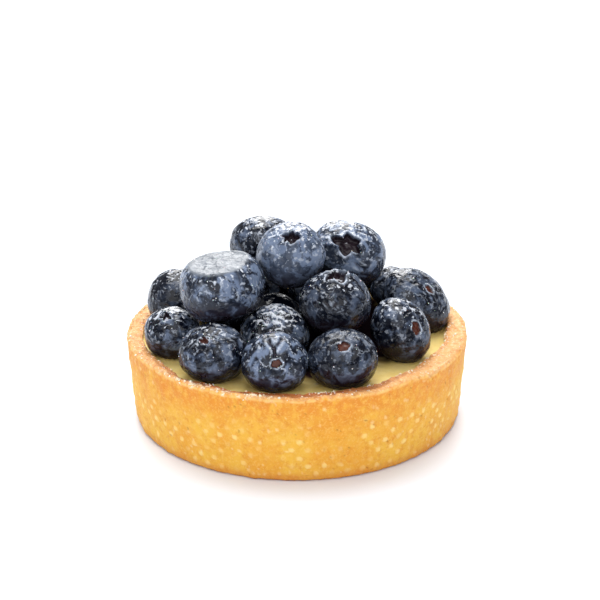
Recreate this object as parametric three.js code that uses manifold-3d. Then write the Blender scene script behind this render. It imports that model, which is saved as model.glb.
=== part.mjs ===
// A round fruit tart: a straight-sided shortcrust shell, baked in a ring and filled with
// set custard, with a loose heap of whole blueberries resting on the custard.
//
// Millimetres, +Z up. The origin is the centre of the flat underside of the shell. The
// front of the tart faces -Y, and azimuths run from +X towards +Y.

import * as THREE from 'three';
import Module from 'manifold-3d';
import { mergeVertices } from 'three/addons/utils/BufferGeometryUtils.js';

// Shell.
const RIM_RADIUS = 40;
const BASE_RADIUS = 38.8;
const SHELL_HEIGHT = 20.5;
const WALL = 4.7;
const FLOOR = 3;
const BASE_CORNER = 2;
const INNER_CORNER = 2;
const INNER_TAPER = 0.8;
const SHELL_SEGMENTS = 90;
// Rim section, from the inside out. Inside: inset from the inner face, drop from the rim's
// level, and share of the rim's unevenness. Outside: inset from the outer face, and drop.
const RIM_INSIDE = [[0, 2.4, 0.3], [0.2, 0.8, 1], [0.8, 0.35, 1]];
const RIM_OUTSIDE = [[0.8, 0], [0.2, 0.3]];
const WALL_RING_HEIGHTS = [0.93, 0.62, 0.34];
// Waves of the rim's height, of the wall's outside and of its inside: waves per turn, size
// and phase. The inside's one wave makes the wall thinner at the front left.
const RIM_WAVES = [[2, 0.16, 0.6], [5, 0.12, 2.1], [9, 0.08, 0.4]];
const WALL_DENTS = [[4, 0.07, 1.3], [6, 0.05, 0.4]];
const INNER_WAVES = [[1, 1, 3.93]];
// Crumbled places of the rim's inner edge: azimuth and half width in degrees, and depth.
const CHIPS = [[229, 9, 1.3], [249, 8, 0.9], [297, 5, 0.9], [9, 16, 1.4], [130, 9, 0.9], [68, 8, 0.6]];

// Custard. Section of its edge against the wall: inset from the wall, and lift.
const CUSTARD_LEVEL = 18.6;
const CUSTARD_EDGE = [[2.5, 0], [0.6, 0.5], [0.1, 0.2]];
const CUSTARD_SEGMENTS = 48;
// The faceted hollows are a little oversize, so that their flats clear the berries too.
const HOLLOW_OVERSIZE = 1.045;
const HOLLOW_SEGMENTS = [14, 9];

// Berries.
const BERRY_SEGMENTS = 15;
const BERRY_SINK = 1.2;
const ROLL_LIMIT = 0.4;
// Shares of a berry's half size: the calyx crown with its pit, the stem scar, and how far
// the berry is dented out of round.
const CROWN_LOBES = 5;
const CROWN_RADIUS = 0.33;
const CROWN_PIT_SLOPE = 0.1;
const CROWN_PIT_DEPTH = 0.18;
const CROWN_LOBE_HEIGHT = 0.08;
const CROWN_LOBE_SPREAD = 0.06;
const CROWN_NOTCHES = 0.65;
const SCAR_DEPTH = 0.06;
const UNEVENNESS = 0.03;
// Turn in radians of each berry's dents against those of the one before it.
const DENT_TURN = 2.4;
// Polar angles of a berry's rings, from the crown to the stem scar.
const BERRY_RINGS = [14, 21, 28, 43, 59, 75, 91, 107, 124, 142, 158, 171];

// Clearances: between berries that touch, and round the custard.
const CONTACT_GAP = 0.05;
const PIECE_GAP = 0.3;
const SETTLE_PRECISION = 0.01;

// Berries on the custard. Place: azimuth in degrees and distance from the tart's axis.
// Size: width, height as a share of it, and length from crown to stem as a share of it.
// Turn: azimuth and elevation in degrees of the way the crown points.
const CUSTARD_BERRIES = {
  berry_ring_01: [203, 30.7, 13.2, 0.94, 0.92, 265, 50],
  berry_ring_02: [233.5, 30.6, 15.2, 0.9, 0.88, 63, -51],
  berry_ring_03: [261, 30.1, 14.5, 0.97, 0.94, 94, -22],
  berry_ring_04: [289.4, 29.9, 15.7, 0.88, 0.86, 92, -47],
  berry_ring_05: [329, 27.2, 14.0, 1.12, 0.92, 125, -26],
  berry_ring_06: [8, 28.7, 17.8, 0.96, 0.76, 135, -46],
  berry_ring_07: [36, 29.2, 11.8, 0.96, 0.94, 30, 40],
  berry_ring_08: [61.5, 28.8, 14.0, 0.92, 0.88, 70, 25],
  berry_ring_09: [89, 28.6, 14.0, 0.94, 0.9, 120, 50],
  berry_ring_10: [115, 29.0, 12.2, 0.94, 0.9, 95, -20],
  berry_ring_11: [140.5, 28.4, 11.6, 0.96, 0.92, 150, 15],
  berry_ring_12: [167.5, 29.2, 15.2, 0.97, 0.94, 100, 10],
  berry_inner_01: [252, 16.1, 15.3, 0.94, 0.92, 68, -54],
  berry_inner_02: [184, 17.4, 13.8, 0.92, 0.88, 150, 40],
  berry_inner_03: [201, 5.1, 12.4, 0.94, 0.92, 20, 60],
  berry_inner_04: [344, 9.3, 14.1, 0.98, 0.96, 320, 30],
  berry_inner_05: [73, 13.8, 13.2, 0.97, 0.96, 40, 20],
  berry_inner_06: [129, 16.3, 13.0, 0.96, 0.94, 140, 10],
};

// Berries that lie on other berries. Place: the plan point where each one is let down.
const UPPER_BERRIES = {
  berry_upper_01: [-16.3, -12.9, 20.2, 1, 0.76, 190, 82],
  berry_upper_02: [8.1, -14.3, 16.8, 1, 0.79, 270, 76],
  berry_upper_03: [11.6, 7.2, 19.0, 0.88, 0.88, 270, 36],
  berry_upper_04: [-8.2, 10.6, 16.6, 0.88, 0.86, 90, 15],
  berry_top: [-1.8, -3.6, 16.5, 0.94, 0.92, 270, 54],
};

// Berries whose crown end is pressed flat, and at which share of their half length.
const FLAT_TOPS = { berry_upper_01: 0.8 };

// Finish of each material: colour and roughness.
const CRUST_FINISH = { color: 0xe3a552, roughness: 0.8 };
const CUSTARD_FINISH = { color: 0xcdbb72, roughness: 0.4 };
const BERRY_FINISH = { color: 0x2b3347, roughness: 0.5 };

const wasm = await Module();
wasm.setup();

const { degToRad, euclideanModulo, lerp, smoothstep } = THREE.MathUtils;
const DOWN = new THREE.Vector3(0, 0, -1);

function toManifold(geometry) {
  const bare = geometry.clone();
  bare.deleteAttribute('normal');
  bare.deleteAttribute('uv');
  const merged = mergeVertices(bare, 1e-5);
  return new wasm.Manifold(new wasm.Mesh({
    numProp: 3,
    vertProperties: new Float32Array(merged.attributes.position.array),
    triVerts: new Uint32Array(merged.index.array),
  }));
}

function fromManifold(solid) {
  const mesh = solid.getMesh();
  const geometry = new THREE.BufferGeometry();
  geometry.setAttribute('position', new THREE.BufferAttribute(mesh.vertProperties, 3));
  geometry.setIndex(new THREE.BufferAttribute(mesh.triVerts, 1));
  geometry.computeVertexNormals();
  return geometry;
}

function ringOf(segments, point) {
  return Array.from({ length: segments }, (_, i) => point((i / segments) * 2 * Math.PI));
}

// A closed skin from an upper pole over rings of points to a lower pole. Each ring runs
// anticlockwise seen from above.
function skin(upperPole, rings, lowerPole) {
  const count = rings[0].length;
  const positions = [upperPole, ...rings.flat(), lowerPole].flat();
  const at = (ring, i) => 1 + ring * count + (i % count);
  const last = 1 + rings.length * count;
  const index = [];
  for (let i = 0; i < count; i += 1) {
    index.push(0, at(0, i), at(0, i + 1));
    for (let ring = 0; ring + 1 < rings.length; ring += 1) {
      index.push(at(ring, i), at(ring + 1, i), at(ring + 1, i + 1));
      index.push(at(ring, i), at(ring + 1, i + 1), at(ring, i + 1));
    }
    index.push(last, at(rings.length - 1, i + 1), at(rings.length - 1, i));
  }
  const geometry = new THREE.BufferGeometry();
  geometry.setAttribute('position', new THREE.Float32BufferAttribute(positions, 3));
  geometry.setIndex(index);
  geometry.computeVertexNormals();
  return geometry;
}

// Shell.

// Sum of sine waves round the shell, each given as waves per turn, size and phase.
function waves(list, angle) {
  return list.reduce((sum, [count, size, phase]) => sum + size * Math.sin(count * angle + phase), 0);
}

// Height of the rim over its level: the slow waves of a hand-trimmed edge.
function rimWave(angle) {
  return waves(RIM_WAVES, angle);
}

// Unevenness of the wall, inwards only, so that no place is wider than the rim radius.
function wallDent(angle) {
  return WALL_DENTS.reduce((sum, [, size]) => sum + size, waves(WALL_DENTS, angle));
}

// Radius of the wall's inner face under the rim.
function innerRadius(angle) {
  return RIM_RADIUS - WALL + waves(INNER_WAVES, angle);
}

// How far the inner edge of the rim has crumbled away.
function innerChip(angle) {
  return CHIPS.reduce((sum, [azimuth, halfWidth, depth]) => {
    const turn = euclideanModulo(angle - degToRad(azimuth) + Math.PI, 2 * Math.PI);
    const off = Math.abs(turn - Math.PI);
    return sum + depth * (1 - smoothstep(off, 0, degToRad(halfWidth)));
  }, 0);
}

function shellGeometry() {
  const ring = (radius, height) => ringOf(SHELL_SEGMENTS, (angle) => {
    const r = radius(angle);
    return [r * Math.cos(angle), r * Math.sin(angle), height(angle)];
  });
  const innerRing = ([inset, drop, share]) => ring(
    (angle) => innerRadius(angle) + inset + share * innerChip(angle),
    (angle) => SHELL_HEIGHT - drop + share * rimWave(angle),
  );
  const outerRing = ([inset, drop]) => ring(
    (angle) => RIM_RADIUS - inset - wallDent(angle),
    (angle) => SHELL_HEIGHT - drop + rimWave(angle),
  );
  const wallRing = (z, inset = 0) => ring(
    (angle) => lerp(BASE_RADIUS, RIM_RADIUS, z / SHELL_HEIGHT) - inset - wallDent(angle),
    () => z,
  );
  const innerFoot = (angle) => innerRadius(angle) - INNER_TAPER;
  const chamfer = 0.3 * BASE_CORNER;
  return skin([0, 0, FLOOR], [
    ring((angle) => innerFoot(angle) - INNER_CORNER, () => FLOOR),
    ring(innerFoot, () => FLOOR + INNER_CORNER),
    ...RIM_INSIDE.map(innerRing),
    ...RIM_OUTSIDE.map(outerRing),
    ...WALL_RING_HEIGHTS.map((share) => wallRing(share * SHELL_HEIGHT)),
    wallRing(BASE_CORNER),
    wallRing(chamfer, chamfer),
    wallRing(0, BASE_CORNER),
  ], [0, 0, 0]);
}

// Berries. In a berry's own frame the calyx crown is at the +Z pole, the stem scar opposite,
// and X is the side axis that lies level once the berry is turned.

function makeBerry(name, order, width, height, length, azimuth, elevation) {
  const [turn, tilt] = [degToRad(azimuth), degToRad(elevation)];
  const side = new THREE.Vector3(-Math.sin(turn), Math.cos(turn), 0);
  const crown = new THREE.Vector3(Math.cos(turn), Math.sin(turn), 0)
    .multiplyScalar(Math.cos(tilt)).setZ(Math.sin(tilt));
  const upright = new THREE.Vector3().crossVectors(crown, side);
  return {
    name,
    dentTurn: order * DENT_TURN,
    axes: [side, upright, crown],
    halves: [width / 2, (height * width) / 2, (length * width) / 2],
    place: new THREE.Vector3(),
  };
}

// Furthest reach of the berry's ellipsoid in a direction.
function reach(berry, direction) {
  return Math.hypot(...berry.axes.map((axis, i) => axis.dot(direction) * berry.halves[i]));
}

// Relief of the calyx crown along the berry's axis, as a share of its half length: a pit
// with a ring of raised lobes round it.
function crownRelief(share, angle) {
  const slopeFoot = CROWN_RADIUS - CROWN_PIT_SLOPE;
  const pit = CROWN_PIT_DEPTH * (1 - smoothstep(share, slopeFoot, CROWN_RADIUS));
  const ridgeMiddle = CROWN_RADIUS + CROWN_LOBE_SPREAD / 2;
  const ridge = Math.exp(-(((share - ridgeMiddle) / CROWN_LOBE_SPREAD) ** 2));
  const lobes = 1 - CROWN_NOTCHES + CROWN_NOTCHES * Math.cos(CROWN_LOBES * angle);
  return CROWN_LOBE_HEIGHT * ridge * lobes - pit;
}

function berryGeometry(berry) {
  const [a, b, c] = berry.halves;
  const top = FLAT_TOPS[berry.name] ?? 1;
  const ring = (polar) => ringOf(BERRY_SEGMENTS, (angle) => {
    const share = Math.sin(degToRad(polar));
    const bulge = (1 + Math.sin(2 * angle + berry.dentTurn)) / 2;
    const r = share * (1 - UNEVENNESS * share ** 2 * bulge);
    const relief = polar < 90 && top === 1 ? crownRelief(share, angle) : 0;
    const z = Math.min(top, Math.cos(degToRad(polar)) + relief);
    return [a * r * Math.cos(angle), b * r * Math.sin(angle), c * z];
  });
  const crownFloor = [0, 0, c * Math.min(top, 1 - CROWN_PIT_DEPTH)];
  const scarFloor = [0, 0, -c * (1 - SCAR_DEPTH)];
  return skin(crownFloor, BERRY_RINGS.map(ring), scarFloor);
}

// Placing the berries.

// Lowest height at which a berry over the plan point (x, y) clears all the placed berries.
function restHeight(berry, x, y, placed) {
  let height = CUSTARD_LEVEL - BERRY_SINK + reach(berry, DOWN);
  for (const other of placed) {
    const offset = new THREE.Vector3(x - other.place.x, y - other.place.y, 0);
    const furthest = Math.max(...berry.halves) + Math.max(...other.halves) + CONTACT_GAP;
    if (offset.length() > furthest) continue;
    let low = 0;
    let high = furthest;
    while (high - low > SETTLE_PRECISION) {
      offset.z = (low + high) / 2;
      const direction = offset.clone().normalize();
      const needed = reach(berry, direction) + reach(other, direction) + CONTACT_GAP;
      if (offset.length() < needed) low = offset.z;
      else high = offset.z;
    }
    if (low > 0) height = Math.max(height, other.place.z + high);
  }
  return height;
}

// Lets a berry down over a plan point and rolls it downhill, for as far as it may roll.
function settle(berry, x, y, placed) {
  let best = { x, y, z: restHeight(berry, x, y, placed) };
  for (let step = ROLL_LIMIT / 2; step > SETTLE_PRECISION; step /= 2) {
    for (let turn = 0; turn < 2 * Math.PI; turn += Math.PI / 4) {
      const nx = best.x + step * Math.cos(turn);
      const ny = best.y + step * Math.sin(turn);
      const nz = restHeight(berry, nx, ny, placed);
      const inReach = Math.hypot(nx - x, ny - y) <= ROLL_LIMIT;
      if (inReach && nz < best.z) best = { x: nx, y: ny, z: nz };
    }
  }
  return best;
}

function heapOfBerries() {
  const placed = [];
  for (const [name, [azimuth, distance, ...shape]] of Object.entries(CUSTARD_BERRIES)) {
    const berry = makeBerry(name, placed.length, ...shape);
    berry.place.set(
      distance * Math.cos(degToRad(azimuth)),
      distance * Math.sin(degToRad(azimuth)),
      CUSTARD_LEVEL - BERRY_SINK + reach(berry, DOWN),
    );
    placed.push(berry);
  }
  for (const [name, [x, y, ...shape]] of Object.entries(UPPER_BERRIES)) {
    const berry = makeBerry(name, placed.length, ...shape);
    const rest = settle(berry, x, y, placed);
    berry.place.set(rest.x, rest.y, rest.z);
    placed.push(berry);
  }
  return placed;
}

// Matrix that turns and places things given in a berry's own frame.
function berryMatrix(berry) {
  return new THREE.Matrix4().makeBasis(...berry.axes).setPosition(berry.place);
}

// Custard: fills the shell up to its level, lifts a little where it meets the wall, and is
// hollowed where the berries have sunk in.
function custardGeometry(berries) {
  const ring = (inset, height) => ringOf(CUSTARD_SEGMENTS, (angle) => {
    const r = innerRadius(angle) - PIECE_GAP - inset;
    return [r * Math.cos(angle), r * Math.sin(angle), height];
  });
  const bottom = FLOOR + PIECE_GAP;
  const body = skin([0, 0, CUSTARD_LEVEL], [
    ...CUSTARD_EDGE.map(([inset, lift]) => ring(inset, CUSTARD_LEVEL + lift)),
    ring(INNER_TAPER, bottom + INNER_CORNER),
    ring(INNER_TAPER + INNER_CORNER, bottom),
  ], [0, 0, bottom]);
  let solid = toManifold(body);
  for (const berry of berries) {
    if (berry.place.z - reach(berry, DOWN) > CUSTARD_LEVEL) continue;
    const hollow = new THREE.SphereGeometry(HOLLOW_OVERSIZE, ...HOLLOW_SEGMENTS);
    const [a, b, c] = berry.halves;
    hollow.scale(a + PIECE_GAP, b + PIECE_GAP, c * (1 + CROWN_LOBE_HEIGHT) + PIECE_GAP);
    hollow.applyMatrix4(berryMatrix(berry));
    solid = solid.subtract(toManifold(hollow));
  }
  return fromManifold(solid);
}

const tart = new THREE.Group();

function addPiece(name, geometry, finish) {
  const material = new THREE.MeshStandardMaterial({ ...finish, metalness: 0 });
  const mesh = new THREE.Mesh(geometry, material);
  mesh.name = name;
  tart.add(mesh);
  return mesh;
}

const berries = heapOfBerries();
addPiece('crust', shellGeometry(), CRUST_FINISH);
addPiece('custard', custardGeometry(berries), CUSTARD_FINISH);
for (const berry of berries) {
  const mesh = addPiece(berry.name, berryGeometry(berry), BERRY_FINISH);
  mesh.quaternion.setFromRotationMatrix(berryMatrix(berry));
  mesh.position.copy(berry.place);
}

export default tart;
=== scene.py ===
"""A blueberry tart: shortcrust shell, set custard and a loose heap of sugared blueberries.

Each solid of the CAD part is dressed by one mesh of its own, and two more hold the loose sugar and the
crumbs of the rim. Metres, +Z up; sizes written in millimetres are multiplied by MM. Azimuths run from +X
towards +Y, and the front faces -Y.
"""

import math
from types import SimpleNamespace

import bpy
import numpy as np
from mathutils import Matrix, Vector
from mathutils.bvhtree import BVHTree


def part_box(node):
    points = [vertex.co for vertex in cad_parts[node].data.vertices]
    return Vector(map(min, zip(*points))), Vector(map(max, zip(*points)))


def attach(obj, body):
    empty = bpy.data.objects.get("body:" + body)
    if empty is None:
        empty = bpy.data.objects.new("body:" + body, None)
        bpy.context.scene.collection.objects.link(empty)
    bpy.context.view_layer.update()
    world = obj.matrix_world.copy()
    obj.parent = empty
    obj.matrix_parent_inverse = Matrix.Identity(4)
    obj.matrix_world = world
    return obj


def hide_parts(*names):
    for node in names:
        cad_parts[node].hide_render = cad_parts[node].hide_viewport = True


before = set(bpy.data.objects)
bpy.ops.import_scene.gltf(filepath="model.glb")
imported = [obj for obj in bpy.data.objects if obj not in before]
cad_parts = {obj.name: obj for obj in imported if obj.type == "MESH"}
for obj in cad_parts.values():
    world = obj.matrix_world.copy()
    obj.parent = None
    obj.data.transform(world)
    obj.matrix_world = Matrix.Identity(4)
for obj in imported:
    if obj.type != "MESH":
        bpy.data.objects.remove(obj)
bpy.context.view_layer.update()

MM = 0.001
UP = np.array([0.0, 0.0, 1.0])

# Crust, in millimetres. The radii, heights and waves are those of the CAD shell. Its foot is crisper, the
# rim is wider and higher at the front right, and the finer relief is added here.
RIM_RADIUS = 40.0
BASE_RADIUS = 38.65
SHELL_HEIGHT = 20.5
WALL = 4.7
FLOOR = 3.0
BASE_CORNER = 1.2
INNER_TAPER = 0.8
INNER_CORNER = 2
OUTER_EDGE = 0.8
INNER_EDGE = 0.45
RIM_DROP = 0.45
# Waves of the rim's height and of the wall's inside: waves per turn, size and phase.
RIM_WAVES = [(2, 0.16, 0.6), (5, 0.12, 2.1), (9, 0.08, 0.4)]
INNER_WAVES = [(1, 1.0, 3.93)]
# Places where the inner edge lies further out, or further in where the depth is negative: azimuth and
# half width in degrees, and depth.
CHIPS = [(229, 9, 1.3), (249, 8, 0.9), (325, 22, -1.2), (9, 16, 1.4), (130, 9, 0.9), (68, 8, 0.6)]
# Low places of the crest and high places of the whole rim, given in the same way.
CREST_DIPS = [(271, 5, 0.35), (24, 6, 0.4), (248, 3, 0.3), (318, 3, 0.25), (193, 4, 0.15), (205, 4, 0.15)]
RIM_HUMPS = [(308, 13, 0.85)]
# Azimuth in degrees about which the rim has browned most.
BROWN_SIDE = 262
# Where the rim has crumbled most: azimuth and half width in degrees.
CRUMBLED = (243, 18)
# The shell's grid of points: columns round it, and the rows of its section from the underside inwards.
CRUST_SEGMENTS = 720
UNDERSIDE_RINGS = (9, 18, 26, 32, 35, 36.3)
CORNER_ROWS = 8
WALL_STEP = 0.34
RIM_ROWS = 18
INSIDE_STEP = 0.3
INSIDE_MIDDLE = 12.0
FLOOR_REACH = 20.0
# Relief: how far the wall's middle lies within the solid's face, how high the lumps and crumbs of each
# part stand, and how deep the inner edge is notched.
WALL_INSET = 0.12
WALL_LUMPS = 0.13
WALL_CRUMBS = 0.05
EDGE_CRUMBS = 0.08
INSIDE_CRUMBS = 0.06
RIM_LUMPS = 0.12
RIM_CRUMBS = 0.14
RIM_GRAIN = 0.16
EDGE_NOTCH = 0.3
# Marks of the baking ring's holes: staggered rows of low round bumps.
DOT_PITCH = 3.6
DOT_ROW_PITCH = 2.0
DOT_RADIUS = 0.72
DOT_HEIGHT = 0.12
DOT_TOP = 15.5
# Pale flecks and small pits of the wall: how many, their least and greatest radius, the seed of their
# places, and the lowest and the highest of these.
FLECKS = (420, (0.18, 0.55), 3, 1.5, 19.5)
FLECK_HEIGHT = 0.05
PITS = (150, (0.14, 0.32), 4, 1.0, 19.0)
PIT_DEPTH = 0.2

# Custard, in millimetres.
CUSTARD_LEVEL = 18.6
CUSTARD_SEGMENTS = 360
CUSTARD_RINGS = 110
# How the custard rises to each berry and to the wall.
MENISCUS_HEIGHT = 0.3
MENISCUS_WIDTH = 0.5
WALL_RISE = 0.55
WALL_RISE_WIDTH = 0.7
# How far its edge reaches into the wall, so that no gap is seen.
WALL_OVERLAP = 0.15
# How far under each berry it is hollowed out.
HOLLOW_GAP = 0.4
# How far out from the middle the custard is painted dark as shade under the heap, tinted purple like juice,
# and how much further at the back.
HEAP_SHADE_EDGE = 25
HEAP_SHADE_BACK = 4.5

# Berries. Height and length as shares of the width, azimuth and elevation in degrees of the way the
# crown points, polar angle of the crown's opening in degrees, and how heavy the bloom lies.
BERRIES = {
    "berry_ring_01": (0.94, 0.92, 245, 62, 14, 0.8),
    "berry_ring_02": (0.9, 0.88, 63, -51, 20, 0.65),
    "berry_ring_03": (0.97, 0.94, 94, -22, 20, 1.05),
    "berry_ring_04": (0.88, 0.86, 92, -50, 21, 0.4),
    "berry_ring_05": (1.12, 0.92, 125, -26, 20, 0.65),
    "berry_ring_06": (0.96, 0.76, 135, -46, 20, 0.5),
    "berry_ring_07": (0.96, 0.94, 30, 40, 22, 0.5),
    "berry_ring_08": (0.92, 0.88, 70, 25, 21, 0.6),
    "berry_ring_09": (0.94, 0.9, 120, 50, 24, 0.5),
    "berry_ring_10": (0.94, 0.9, 95, -20, 20, 0.6),
    "berry_ring_11": (0.96, 0.92, 150, 15, 22, 0.4),
    "berry_ring_12": (0.97, 0.94, 100, 10, 21, 0.3),
    "berry_inner_01": (0.94, 0.92, 68, -54, 20, 0.8),
    "berry_inner_02": (0.92, 0.88, 150, 40, 22, 0.3),
    "berry_inner_03": (0.94, 0.92, 0, 0, 20, 0.0),
    "berry_inner_04": (0.98, 0.96, 320, 30, 21, 0.2),
    "berry_inner_05": (0.97, 0.96, 40, 20, 22, 0.5),
    "berry_inner_06": (0.96, 0.94, 140, 10, 22, 0.5),
    "berry_upper_01": (1.0, 0.76, 190, 82, 0, 1.1),
    "berry_upper_02": (1.0, 0.79, 290, 82, 23, 0.4),
    "berry_upper_03": (0.88, 0.88, 270, 36, 23, 1.25),
    "berry_upper_04": (0.88, 0.86, 90, 15, 22, 0.7),
    "berry_top": (0.94, 0.92, 270, 50, 17, 1.7),
}
# Berries with more or less sugar on their tops than falls on them through the heap's gaps.
SUGAR_CHANGE = {
    "berry_inner_01": 0.55,
    "berry_inner_03": -0.6,
    "berry_ring_01": 0.2,
    "berry_ring_03": -0.32,
    "berry_ring_04": -0.4,
    "berry_ring_06": -0.3,
}
# Berries that are pressed out of round aslant: azimuth and elevation in degrees of the way they are
# flattened, and how far.
ASLANT = {
    "berry_ring_02": (188, 46, 0.94),
    "berry_ring_05": (8, 46, 0.9),
    "berry_ring_06": (8, 46, 0.78),
    "berry_upper_03": (8, 46, 0.92),
}
# Berries that are a little wider from side to side than their solids.
WIDER = {"berry_ring_02": 1.08, "berry_inner_01": 1.06}
# Where the pressed berry, which has no crown, is cut flat, as a share of its half length, and how square
# it is: the power of its superellipsoid.
FLAT_TOP = 0.8
ROUND = 2.0
SQUARE = {"berry_upper_01": 2.15}
BERRY_SEED = 100
# Stem scars that have grown nearly shut: how much of the scar's look is left.
FAINT_SCARS = {"berry_inner_01": 0.15, "berry_ring_02": 0.8}
BERRY_SEGMENTS = 100
# Points of the crown's star: angle in degrees round the crown, and length as a share of the opening.
STARS = {
    "berry_upper_03": [(23, 0.95), (90, 0.98), (150, 1.25), (257, 1.0), (320, 1.05)],
    "berry_top": [(18, 0.98), (79, 1.05), (158, 1.2), (216, 0.85), (265, 0.75)],
}
STAR_VALLEY = 0.62
# Rings of the crown as shares of its opening, of a pressed top and the body in degrees, and of the stem
# scar in degrees from the stem pole.
CROWN_RINGS = [
    0.06, 0.14, 0.25, 0.37, 0.5, 0.62, 0.72, 0.8, 0.86, 0.91, 0.95, 0.98,
    1.0, 1.03, 1.07, 1.12, 1.18, 1.26, 1.36, 1.48, 1.62, 1.78,
]
# Share of the opening given to points that lie away from any crown.
FAR = 9.0
PRESSED_RINGS = range(3, 39, 3)
BODY_STEP = 3.0
SCAR_RINGS = [21, 18, 15.5, 13.5, 12, 10.8, 9.8, 9, 8.4, 7.9, 7.4, 6.8, 6, 4.8, 3.4, 1.8]
# Polar angle of the stem scar's edge in degrees, and some berries' shares of it.
SCAR_ANGLE = 8.2
SCAR_SIZES = {"berry_ring_04": 1.25, "berry_ring_05": 1.3, "berry_ring_06": 0.9}
# Heights and depths of the crown and of the stem scar, as shares of the half length.
CROWN_FLOOR = -0.22
LIP_HEIGHT = 0.085
SCAR_DEPTH = 0.085
SCAR_RING = 0.014

# Creases in the skin: start and end of the groove as azimuth and elevation in degrees seen from the
# berry's middle, depth and half width as shares of the half width.
CREASES = {
    "berry_ring_01": [(250, 62, 225, 35, 0.06, 0.06)],
    "berry_ring_02": [
        (225, 55, 215, 22, 0.06, 0.05), (225, 55, 262, 42, 0.06, 0.05), (300, 62, 330, 35, 0.08, 0.045),
    ],
    "berry_ring_03": [
        (236, 68, 270, 48, 0.12, 0.05), (310, 68, 270, 48, 0.11, 0.05), (270, 56, 271, 34, 0.08, 0.045),
    ],
    "berry_ring_04": [(230, 45, 255, 62, 0.06, 0.05)],
    "berry_ring_05": [(300, 40, 318, 8, 0.07, 0.04), (262, 52, 270, 34, 0.05, 0.06)],
    "berry_ring_06": [
        (300, 62, 260, 50, 0.05, 0.05), (320, 45, 318, 5, 0.05, 0.05), (320, 45, 350, 30, 0.05, 0.05),
    ],
    "berry_inner_01": [(240, 62, 282, 48, 0.07, 0.05)],
    "berry_upper_01": [
        (255, 40, 300, 38, 0.06, 0.04), (225, 35, 262, 8, 0.06, 0.04), (285, 12, 262, 8, 0.06, 0.04),
    ],
    "berry_upper_02": [(250, 30, 262, 14, 0.07, 0.04), (275, 28, 262, 14, 0.08, 0.04)],
    "berry_upper_03": [(234, 26, 258, 8, 0.06, 0.045), (274, 8, 294, -10, 0.08, 0.055)],
    "berry_upper_04": [(262, 60, 250, 15, 0.05, 0.05)],
    "berry_top": [
        (236, 36, 240, -6, 0.05, 0.035), (300, 30, 330, 12, 0.06, 0.05), (222, 42, 250, 20, 0.06, 0.04),
    ],
}

# Loose sugar and crumbs, in millimetres.
SUGAR_SEED = 11
# Least and greatest half width of a lump.
GRAIN_SIZE = (0.05, 0.19)
CRUMB_SIZE = (0.12, 0.42)
# Directions that sifted sugar falls from: tilt from the vertical and azimuth in degrees.
DUST_RAYS = [(0, 0), (22, 20), (22, 140), (22, 260), (40, 80), (40, 200), (40, 320)]
# How far over a berry's skin the rays that look for open sky start.
RAY_LIFT = 0.4
# The rim's loose lumps: how low they lie at most, and how far in from the outside they and the crest are.
RIM_DEPTH = 1.3
RIM_OUTSIDE = 0.3
RIM_CREST = 0.6


# Numbers

# The twelve slopes of gradient noise: towards the middles of a cube's edges.
SLOPES = np.array(
    [slope for slope in np.ndindex(3, 3, 3) if sum(abs(part - 1) for part in slope) == 2], float
) - 1
# Odd multipliers that scatter the bits of a cell's three numbers, of the seed and of what they give.
CELL_FACTORS = (np.uint64(73856093), np.uint64(19349663), np.uint64(83492791))
SEED_FACTOR = 2654435761
MIX_FACTOR = np.uint64(2246822519)
LATTICE_MAX = 0xFFFF


def lattice(cell, seed):
    """A repeatable random whole number from 0 to LATTICE_MAX for each whole-numbered cell."""
    mask = np.uint64(0xFFFFFFFF)
    x, y, z = (cell[:, i].astype(np.uint64) & mask for i in range(3))
    mixed = (x * CELL_FACTORS[0]) ^ (y * CELL_FACTORS[1]) ^ (z * CELL_FACTORS[2])
    mixed = (mixed ^ np.uint64(seed * SEED_FACTOR)) & mask
    for _ in range(2):
        mixed = ((mixed ^ (mixed >> np.uint64(15))) * MIX_FACTOR) & mask
    return (mixed ^ (mixed >> np.uint64(13))) & np.uint64(LATTICE_MAX)


def noise(points, size, seed):
    """A smooth random field of about -1 to 1 whose bumps are about size across."""
    scaled = points / size
    cell = np.floor(scaled).astype(np.int64)
    part = scaled - cell
    ease = part**3 * (part * (6 * part - 15) + 10)
    total = np.zeros(len(points))
    for corner in np.ndindex(2, 2, 2):
        weight = np.prod(np.where(np.array(corner) == 1, ease, 1 - ease), axis=1)
        slope = SLOPES[(lattice(cell + np.array(corner), seed) % np.uint64(12)).astype(int)]
        total += weight * np.einsum("ij,ij->i", slope, part - corner)
    return 1.5 * total


def fractal(points, size, seed, octaves=3):
    """Noise with finer and fainter noise on top."""
    return sum(noise(points, size / 2**i, seed + i) / 2**i for i in range(octaves))


def smoothstep(low, high, value):
    """0 at low, 1 at high, and eased between them; low may be the greater."""
    share = np.clip((value - low) / (high - low), 0, 1)
    return share * share * (3 - 2 * share)


def direction(azimuth, elevation):
    """Unit vector towards an azimuth and an elevation in degrees."""
    turn, tilt = math.radians(azimuth), math.radians(elevation)
    flat = math.cos(tilt)
    return np.array([flat * math.cos(turn), flat * math.sin(turn), math.sin(tilt)])


def round_points(radius, angle, height):
    """Points round the tart's upright axis."""
    return np.stack([radius * np.cos(angle), radius * np.sin(angle), height], axis=1)


def waves(table, angle):
    """Sum of the listed waves, each a number of waves per turn, a size and a phase."""
    return sum(size * np.sin(count * angle + phase) for count, size, phase in table)


def places_round(table, angle):
    """Depth of the listed places, each an azimuth and a half width in degrees and a depth."""
    total = np.zeros_like(angle)
    for azimuth, half_width, depth in table:
        off = np.abs((angle - math.radians(azimuth) + np.pi) % (2 * np.pi) - np.pi)
        total += depth * (1 - smoothstep(0, math.radians(half_width), off))
    return total


# Meshes


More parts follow.
